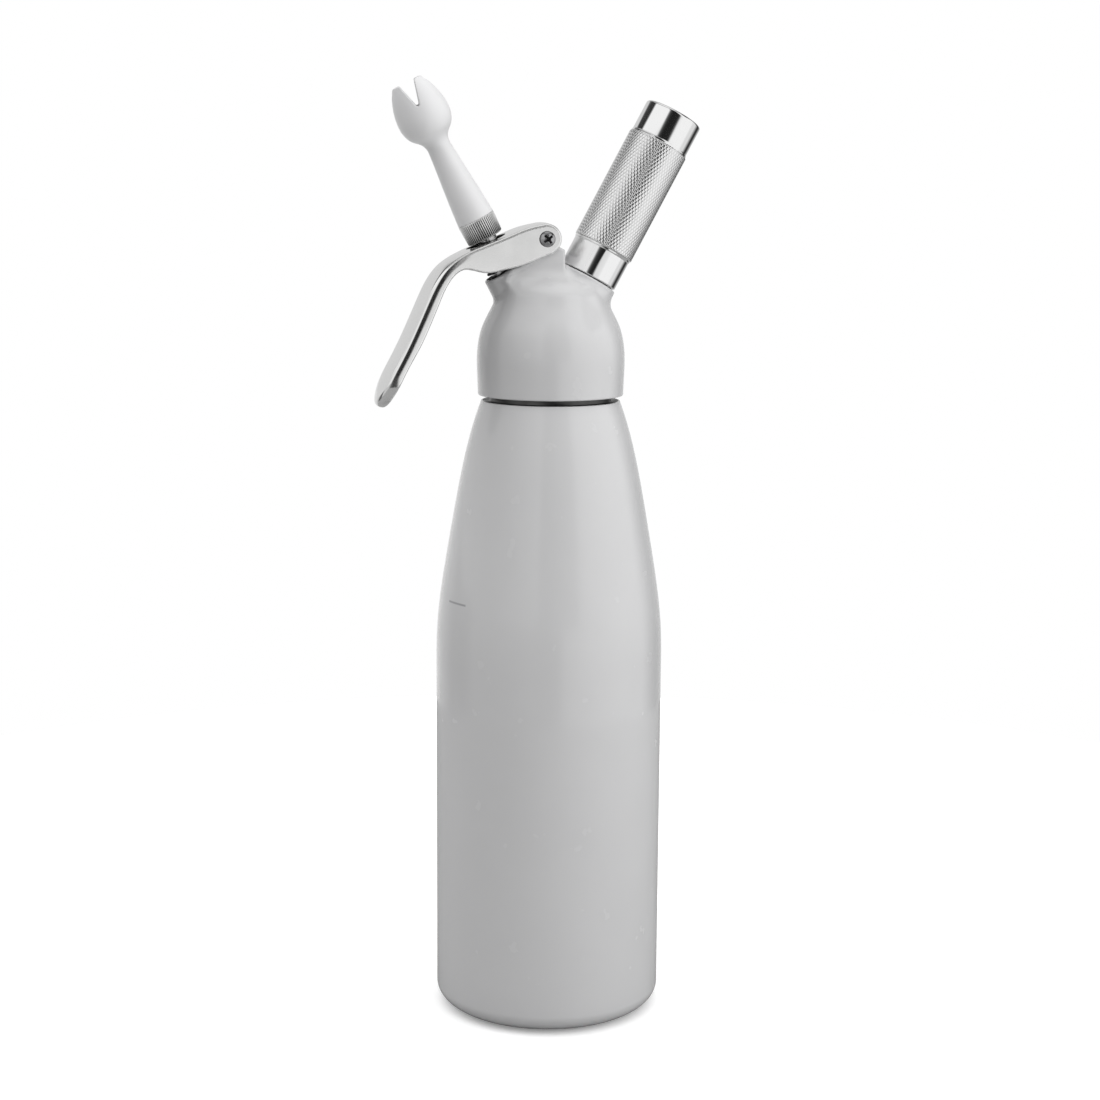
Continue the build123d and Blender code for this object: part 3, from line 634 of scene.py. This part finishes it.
def head_fn(X, Y, Z):
    r = np.hypot(X, Y)
    R = side(Z)
    dR = (side(Z + 0.2) - side(Z - 0.2)) / 0.4
    body = (r - R) / np.sqrt(1 + dR * dR)
    body = r_and(body, Z - 277.5, 7.0)
    body = r_and(body, 234.0 - Z, 0.4)
    u, v, s = local(NOZ, X, Y, Z)
    rn = np.hypot(u, v)
    boss = r_and(rn - 7.5, s + 13.5, 0.7)
    boss = r_and(boss, -38.0 - s, 1.0)
    u2, v2, s2 = local(CHG, X, Y, Z)
    rc = np.hypot(u2, v2)
    port = r_and(rc - 11.6, s2 + 0.3, 0.8)
    port = r_and(port, -20.0 - s2, 1.0)
    tower = r_and(TOWER(X, Z), np.abs(Y) - 9.0, 0.9)
    e = np.clip((X + 20.0) / 7.0, 0, 1)
    f_ = r_or(tower, boss, 3.0)
    f_ = r_or(f_, body, 1.5 + 3.5 * e * e * (3 - 2 * e))
    f_ = r_or(f_, port, 2.2)
    # the fillets stay clear of the lever's cheeks, down to their lowest
    c, d = math.cos(math.radians(8.0)), math.sin(math.radians(8.0))
    dx, dz = X - PIVOT[0], Z - PIVOT[1]
    swept = np.minimum(LOW(X, Z), LOW(PIVOT[0] + c * dx + d * dz, PIVOT[1] - d * dx + c * dz)) - 0.3
    f_ = r_cut(f_, np.maximum(swept, 9.1 - np.abs(Y)), 0.3)
    # bore for the neck, liner inside it
    bore = np.minimum(r_and(r - 24.95, Z - 251.2, 0.3), r_and(r - 20.2, Z - 258.0, 1.0))
    f_ = r_cut(f_, bore, 0.4)
    # valve pocket and charger socket
    f_ = r_cut(f_, rn - 6.4, 0.3)
    f_ = r_cut(f_, np.maximum(rc - 8.0, -12.0 - s2), 0.3)
    # pivot bore
    f_ = r_cut(f_, np.hypot(X - PIVOT[0], Z - PIVOT[1]) - 2.6, 0.2)
    return f_


arc = [(PIVOT[0] + 4.1 * math.cos(a), PIVOT[1] + 4.1 * math.sin(a)) for a in np.radians(np.linspace(180, -29, 40))]
TOWER = Flat(arc + [(3.4, 287.3), (3.4, 266.0), (-12.0, 266.0), (-18.6, 276.0), (-16.4, 280.12), (-11.55, 282.67),
                    (-8.6, 284.4), (-7.9, 286.0)], (-34, 230), (34, 300))
liner = list(eased([(19.0, 259.0), (19.4, 255.0), (19.4, 251.05), (24.3, 251.05), (24.3, 246.2), (23.8, 245.4)],
                   [0, 1.0, 0.2, 0.2, 0.2, 0], 3))
rows = [(24.6, z) for z in np.arange(245.0, 235.0, -0.2)]
liner = [(21.4, 259.3), (19.6, 259.3)] + liner + rows + [(24.6, 234.9), (25.1, 234.25), (25.6, 234.05)]
v, f = lathe(liner[::-1][::-1], n=200, radius=thread(3.0, 235.6, 244.6, 24.6, 23.8, crest_w=0.7))
build("head_liner", v, f, "head", bare, ["head"])

# ---------------------------------------------------------------- lever
top = through(LEVER_TOP)
low = through(LEVER_LOW)
nose = [(PIVOT[0] + 5.9 * math.cos(a), PIVOT[1] + 5.9 * math.sin(a)) for a in np.radians(np.linspace(-60, 104, 60))]
TOP = Flat(nose + list(top) + [(-65.2, 200), (6, 200)], (-76, 218), (14, 306))
nose2 = [(PIVOT[0] + 5.9 * math.cos(a), PIVOT[1] + 5.9 * math.sin(a)) for a in np.radians(np.linspace(-62, 0, 30))]
LOW = Flat(list(low) + nose2 + [(2.1, 330), (-90, 330), (-90, 228.6)], (-76, 218), (14, 306))
P, Q, N = surface(head_fn, (-30, -29, 232.5), (30, 29, 297), 0.55)
build("head_casting", P, Q, "head", head_paint, ["head"], N)


def handle(X):
    k = np.clip((-30.0 - X) / 16.0, 0, 1)
    return k * k * (3 - 2 * k)


def lean(t, ends, k, Z):
    """The handle's sides curve in towards its outer face, more so at its end."""
    e = np.clip((242.6 - Z) / 7.0, 0, 1)
    e = e * e * (3 - 2 * e)
    return ends + k * np.clip(t + 2.8 + 2.4 * e, 0, 6) ** 2 / (16.0 + 14.0 * e)


def lever_room(X, Y, Z):
    k = handle(X)
    t = TOP(X, Z) + (0.5 + 1.5 * k) * (Y / 11.0) ** 2
    ends = np.hypot(Y, np.minimum(Z - 240.2, 0) * 11.0 / 10.4) - 11.0
    wall = lean(t, ends, k, Z)
    below = (X - PIVOT[0]) * math.sin(math.radians(24)) + (Z - PIVOT[1]) * math.cos(math.radians(24))
    room = r_and(t + 1.5, wall + 1.8, 0.6 + 1.0 * k)
    return np.minimum(room, np.maximum(np.maximum(below, -2.5 - X), ends + 1.8))


def lever_fn(X, Y, Z):
    k = handle(X)
    t = TOP(X, Z) + (0.5 + 1.5 * k) * (Y / 11.0) ** 2
    ends = np.hypot(Y, np.minimum(Z - 240.2, 0) * 11.0 / 10.4) - 11.0
    # the handle's sides lean in towards its outer face
    wall = lean(t, ends, k, Z)
    e = np.clip((238.5 - Z) / 5.0, 0, 1)
    e = e * e * (3 - 2 * e)
    bend = 0.75 + 0.1 * k + 0.75 * e
    out = r_and(t, wall, bend)
    out = r_and(out, LOW(X, Z), 0.6 + 0.5 * e)
    f_ = r_cut(out, lever_room(X, Y, Z), 0.45)
    u = (X + 24.6) * 0.929 + (Z - 290.2) * 0.369
    w = -(X + 24.6) * 0.369 + (Z - 290.2) * 0.929
    hole = np.hypot(np.maximum(np.abs(u) - 0.8, 0), Y) - 6.7
    f_ = r_cut(f_, np.maximum(hole, np.abs(w) - 7.0), 0.5)
    f_ = r_cut(f_, np.hypot(X - PIVOT[0], Z - PIVOT[1]) - 2.05, 0.15)
    return f_


P, Q, N = surface(lever_fn, (-68, -12.2, 226), (4, 12.2, 299), 0.3)
lever = build("lever_shell", P, Q, "lever", lever_metal, ["lever"], N)
lever.data.materials.append(lever_inside)
mid = np.empty(3 * len(lever.data.polygons))
lever.data.polygons.foreach_get("center", mid)
mid = mid.reshape(-1, 3) / MM
u, w = (mid[:, 0] + 24.6) * 0.929 + (mid[:, 2] - 290.2) * 0.369, -(mid[:, 0] + 24.6) * 0.369 + (mid[:, 2] - 290.2) * 0.929
# faces inside the channel and on the hole's wall take the inside material with its painted shade
bore = (np.hypot(np.maximum(np.abs(u) - 0.8, 0), mid[:, 1]) < 6.95) & (np.abs(w) < 7.0)
within = (lever_room(*mid.T) < 0.1) & (LOW(mid[:, 0], mid[:, 2]) < -0.7) & (np.hypot(mid[:, 0] - PIVOT[0], mid[:, 2] - PIVOT[1]) > 2.3)
lever.data.polygons.foreach_set("material_index", (within | bore).astype(np.int32))


# ---------------------------------------------------------------- pivot screws
def screw_fn(X, Y, Z):
    y = np.abs(Y)
    r = np.hypot(X - PIVOT[0], Z - PIVOT[1])
    dome = np.sqrt(r * r + (y - 8.9) ** 2) - 4.15
    head_ = r_and(r_and(r - 2.9, 11.1 - y, 0.12), dome, 0.25)
    c, s = math.cos(math.radians(38.0)), math.sin(math.radians(38.0))
    a, b = np.abs(c * (X - PIVOT[0]) + s * (Z - PIVOT[1])), np.abs(c * (Z - PIVOT[1]) - s * (X - PIVOT[0]))
    cross = np.minimum(np.maximum(a - 0.42, b - 1.8), np.maximum(b - 0.42, a - 1.8))
    cross = np.minimum(cross, a + b - 1.15)
    cross = np.maximum(cross, 11.4 - y + 0.5 * np.maximum(r - 0.6, 0))
    f_ = r_cut(head_, cross, 0.08)
    shank = np.maximum(r - np.where(y > 9.0, 2.0, 1.5), np.maximum(3.0 - y, y - 11.4))
    return np.minimum(f_, shank)


parts = []
for sgn in (-1, 1):
    lo = (PIVOT[0] - 3.3, 2.6 if sgn > 0 else -13.4, PIVOT[1] - 3.3)
    hi = (PIVOT[0] + 3.3, 13.4 if sgn > 0 else -2.6, PIVOT[1] + 3.3)
    parts.append(surface(screw_fn, lo, hi, 0.11))
v, f = joined(*[(p[0], p[1]) for p in parts])
build("screws", v, f, "head", screw_metal, ["pivot_screws"], np.concatenate([p[2] for p in parts]))

# ---------------------------------------------------------------- decorating tip
tip_out = [(7.0, 8.0), (6.35, 16.0), (5.15, 28.3), (4.45, 35.6), (4.4, 37.6), (4.9, 39.4), (6.3, 41.2), (7.9, 42.7),
           (9.1, 44.8), (9.75, 47.2), (9.85, 49.6), (9.55, 52.6), (8.95, 55.6), (8.1, 58.4), (7.1, 60.9), (6.4, 62.4)]
tip_in = [(5.2, 62.4), (5.9, 60.6), (6.9, 58.0), (7.7, 55.3), (8.3, 52.4), (8.55, 49.6), (8.4, 47.3), (7.8, 45.2),
          (6.7, 43.6), (5.2, 42.1), (3.7, 40.4), (3.1, 38.6), (3.1, 36.0), (3.7, 28.0), (4.5, 18.0), (4.9, 12.0)]
TIP = Flat([(5.3, 8.0)] + list(through(tip_out, 0.3)) + list(through(tip_in, 0.3)) + [(5.3, 12.0)], (-1, 4), (13, 66), 0.1)


def tip_fn(U, V, Sg):
    f_ = TIP(np.hypot(U, V), Sg) + 0.0
    w = 0.5 + np.maximum(Sg - 53.4, 0) * 0.2708
    for spin in (math.radians(-98.5), math.radians(-8.5)):
        x = -math.sin(spin) * U + math.cos(spin) * V
        notch = r_and((np.abs(x) - w) * 0.965, 53.4 - Sg, 0.45)
        f_ = r_cut(f_, notch, 0.28)
    return f_


P, Q, N = surface(tip_fn, (-10.8, -10.8, 7.2), (10.8, 10.8, 63.4), 0.4)
build("tulip_tip", to_row(NOZ, *P.T), Q, "tip", tip_plastic, ["decorator_tip"],
      N @ np.stack(NOZ[1:]))

ring = eased([(4.05, 7.8), (4.05, 0.3), (6.3, 0.3), (6.75, 0.75)], [0, 0.3, 0.2, 0], 3)
ring = [tuple(p) for p in ring] + [(6.75 + 0.25 * k / 30, 0.75 + (7.5 - 0.75) * k / 30) for k in range(1, 31)]
ring += [(7.0, 7.9), (6.97, 7.99), (5.3, 7.99), (5.3, 11.8), (5.1, 12.0), (3.2, 12.0), (3.0, 11.8), (3.0, 7.8), (4.05, 7.8)]


def flutes(T, R, Sg):
    k = np.clip((Sg - 0.3) / 0.4, 0, 1) * np.clip((7.95 - Sg) / 0.2, 0, 1) * (R > 6.2)
    ph = np.abs(((T * 54 / (2 * math.pi)) % 1.0) - 0.5) * 2
    return R - 0.38 * k * np.clip(ph * 2.0 - 0.8, 0, 1)


v, f = lathe(ring, NOZ, 54 * 10, flutes)
build("tip_ring", v, f, "tip", knurl_ring, ["tip_collar"])

# ---------------------------------------------------------------- charger inlet stub
stub = [(4.9, 7.4), (4.9, -11.9), (8.0, -11.9), (8.0, 0.2), (9.1, 0.6)] + [(9.1, z) for z in np.arange(0.8, 10.4, 0.12)]
stub += list(eased([(9.1, 10.5), (8.6, 11.4), (7.9, 11.4), (4.9, 7.4)], [0, 0.2, 0.2, 0], 3))
v, f = lathe(stub, CHG, 160, thread(1.5, 1.2, 10.0, 9.1, 9.6, crest_w=0.35, flank=0.4))
build("inlet_stub", v, f, "head", steel_c, ["charger_inlet"])

# ---------------------------------------------------------------- charger holder
h0 = eased([(9.9, 0.3), (10.5, 0.0), (11.0, 0.35), (11.0, 11.0), (11.25, 11.5)], [0, 0.2, 0.3, 0.3, 0], 4)
grip = [(11.55, z) for z in np.linspace(11.8, 55.1, 340)]
h1 = eased([(11.25, 55.4), (11.0, 55.9), (11.0, 67.3), (9.0, 67.45), (0.0, 67.52)], [0, 0.3, 1.5, 3, 0], 7)
inn = [(0.0, 64.7), (3.0, 64.3), (5.6, 63.0), (7.6, 60.8), (8.7, 58.2), (9.15, 55.6), (9.15, 12.6), (9.9, 12.1)]
inn += [(10.3, z) for z in np.arange(11.6, 0.8, -0.12)] + [(9.9, 0.6), (9.9, 0.3)]
NK = 56


def knurl(T, R, Sg):
    on = (np.abs(R - 11.55) < 1e-3)
    fade = np.clip((Sg - 11.8) / 0.5, 0, 1) * np.clip((55.1 - Sg) / 0.5, 0, 1)
    turn = Sg / 11.55 * math.tan(math.radians(28.5))
    a = np.abs((((T + turn) * NK / (2 * math.pi)) % 1.0) - 0.5) * 2
    b = np.abs((((T - turn) * NK / (2 * math.pi)) % 1.0) - 0.5) * 2
    groove = np.maximum(np.clip((a - 0.52) * 2.3, 0, 1), np.clip((b - 0.52) * 2.3, 0, 1))
    r = np.where(on, 11.2 + (0.35 - 0.11 * groove) * fade, R)
    t = thread(1.5, 2.2, 11.0, 10.3, 9.9, crest_w=0.3, flank=0.4)
    return np.where(np.abs(R - 10.3) < 1e-3, t(T, R, Sg), r)


v, f = lathe(list(h0) + grip + list(h1) + inn, CHG, NK * 10, knurl)
build("holder_body", v, f, "holder", grip_metal, ["charger_holder"])

# ---------------------------------------------------------------- floor, light
fl = Mat("pale_floor", (0.92, 0.92, 0.92), 0.7, 0.0, Emission_Color=(1, 1, 1, 1)).vary(3, 0.01)
path = fl.node("LightPath")
seen = path.outputs["Is Camera Ray"]
fl.colour = fl.mix(seen, fl.mix(path.outputs["Is Glossy Ray"], (0.45, 0.45, 0.45), (0.26, 0.26, 0.26)), fl.colour)
fl.link(fl.span(seen, 0, 1, 0, 0.2), fl.p.inputs["Emission Strength"])
bm = bmesh.new()
bmesh.ops.create_circle(bm, cap_ends=True, segments=128, radius=0.5)
bm.transform(Matrix.Translation((0, 0, -0.0001)))
me = bpy.data.meshes.new("floor")
bm.to_mesh(me)
bm.free()
floor = bpy.data.objects.new("floor", me)
bpy.context.scene.collection.objects.link(floor)
floor.data.materials.append(fl.done())

world = bpy.data.worlds.new("studio")
bpy.context.scene.world = world
world.use_nodes = True
wt = world.node_tree
wt.nodes.clear()
TOPV = 2.6


def wn(kind, **props):
    n = wt.nodes.new("ShaderNode" + kind)
    for k, v in props.items():
        setattr(n, k, v)
    return n


co = wn("TexCoord").outputs["Generated"]


def wdot(v):
    n = wn("VectorMath", operation="DOT_PRODUCT")
    wt.links.new(co, n.inputs[0])
    n.inputs[1].default_value = v
    return n.outputs["Value"]


def wspan(x, a, b, c, d):
    n = wn("MapRange")
    wt.links.new(x, n.inputs["Value"])
    for k, val in zip(("From Min", "From Max", "To Min", "To Max"), (a, b, c, d)):
        n.inputs[k].default_value = val
    return n.outputs[0]


def wmix(fac, a, b):
    n = wn("Mix", data_type="RGBA")
    wt.links.new(fac, n.inputs[0])
    for k, v in ((6, a), (7, b)):
        if isinstance(v, float):
            n.inputs[k].default_value = (v / TOPV, v / TOPV, v / TOPV, 1)
        else:
            wt.links.new(v, n.inputs[k])
    return n.outputs[2]


a2 = wn("Math", operation="ARCTAN2")
wt.links.new(wdot(tuple(right)), a2.inputs[0])
wt.links.new(wdot(tuple(-ahead)), a2.inputs[1])
round_ = wspan(a2.outputs[0], -math.pi, math.pi, 0, 1)
rise = wdot((0, 0, 1))


def ring_of_light(stops):
    """Brightness by direction round the object: degrees from the camera, positive to its right."""
    ramp = wn("ValToRGB")
    wt.links.new(round_, ramp.inputs[0])
    el = ramp.color_ramp.elements
    while len(el) > 1:
        el.remove(el[0])
    for i, (deg, val) in enumerate(stops):
        e = el[0] if i == 0 else el.new((deg + 180) / 360)
        e.position = (deg + 180) / 360
        e.color = (val / TOPV, val / TOPV, val / TOPV, 1)
    return ramp.outputs[0]


# soft boxes as shiny parts see them, by height above the horizon, and the even light they give
BELOW = [(-180, 0.9), (-150, 0.75), (-128, 0.5), (-114, 0.12), (-92, 0.12), (-82, 0.6), (-20, 0.55), (-6, 0.2),
         (-2, 0.05), (10, 0.05), (16, 0.8), (30, 0.86), (38, 1.0), (84, 1.0), (92, 0.8), (107, 0.8), (116, 0.4), (125, 0.04), (138, 0.04),
         (152, 0.4), (180, 0.9)]
LEVEL = [(-180, 0.68), (-62, 0.68), (-40, 0.9), (-14, 0.9), (-8, 0.12), (-2, 0.03), (5, 0.015),
         (24, 0.02), (29, 0.1), (35, 0.9), (42, 1.0), (107, 1.0), (117, 0.4), (125, 0.04), (138, 0.04), (152, 0.4),
         (180, 0.68)]
RAISED = [(-180, 0.6), (-152, 0.3), (-139, 0.2), (-125, 0.05), (-99, 0.03), (-94, 0.2), (-87, 1.0), (-14, 1.0), (-8, 0.12),
          (-2, 0.03), (5, 0.015), (25, 0.02), (29, 0.1), (35, 0.9), (42, 1.0), (66, 1.0), (76, 0.05), (150, 0.05),
          (164, 0.5), (180, 0.6)]
SOFT = [(-180, 0.5), (-157, 0.5), (-142, 0.77), (-127, 1.51), (-112, 1.9), (-97, 1.52), (-82, 0.69), (-67, 0.1),
        (-52, 0.02), (-37, 0.15), (-22, 0.35), (-7, 0.55), (7, 0.73), (22, 0.89), (37, 1.33), (52, 2.07), (67, 2.41),
        (82, 1.95), (97, 1.0), (112, 0.3), (127, 0.2), (157, 0.3), (180, 0.5)]
shiny = wmix(wspan(rise, -0.006, 0.014, 0, 1), ring_of_light(BELOW), ring_of_light(LEVEL))
shiny = wmix(wspan(rise, 0.44, 0.48, 0, 1), shiny, ring_of_light(RAISED))
shiny = wmix(wspan(rise, 0.70, 0.76, 0, 1), shiny, 0.4)
shiny = wmix(wspan(rise, 0.86, 0.92, 0, 1), shiny, 0.9)
soft = wmix(wspan(rise, 0.50, 0.70, 0, 1), ring_of_light(SOFT), 1.7)
lp = wn("LightPath")
both = wmix(lp.outputs["Is Glossy Ray"], soft, shiny)
bg = wn("Background")
wt.links.new(both, bg.inputs["Color"])
bg.inputs["Strength"].default_value = TOPV
white = wn("Background")
white.inputs["Color"].default_value = (1, 1, 1, 1)
white.inputs["Strength"].default_value = 1.0
ms = wn("MixShader")
wt.links.new(lp.outputs["Is Camera Ray"], ms.inputs[0])
wt.links.new(bg.outputs[0], ms.inputs[1])
wt.links.new(white.outputs[0], ms.inputs[2])
wo = wn("OutputWorld")
wt.links.new(ms.outputs[0], wo.inputs["Surface"])

bpy.context.scene.view_settings.view_transform = "Standard"
bpy.context.scene.view_settings.look = "None"
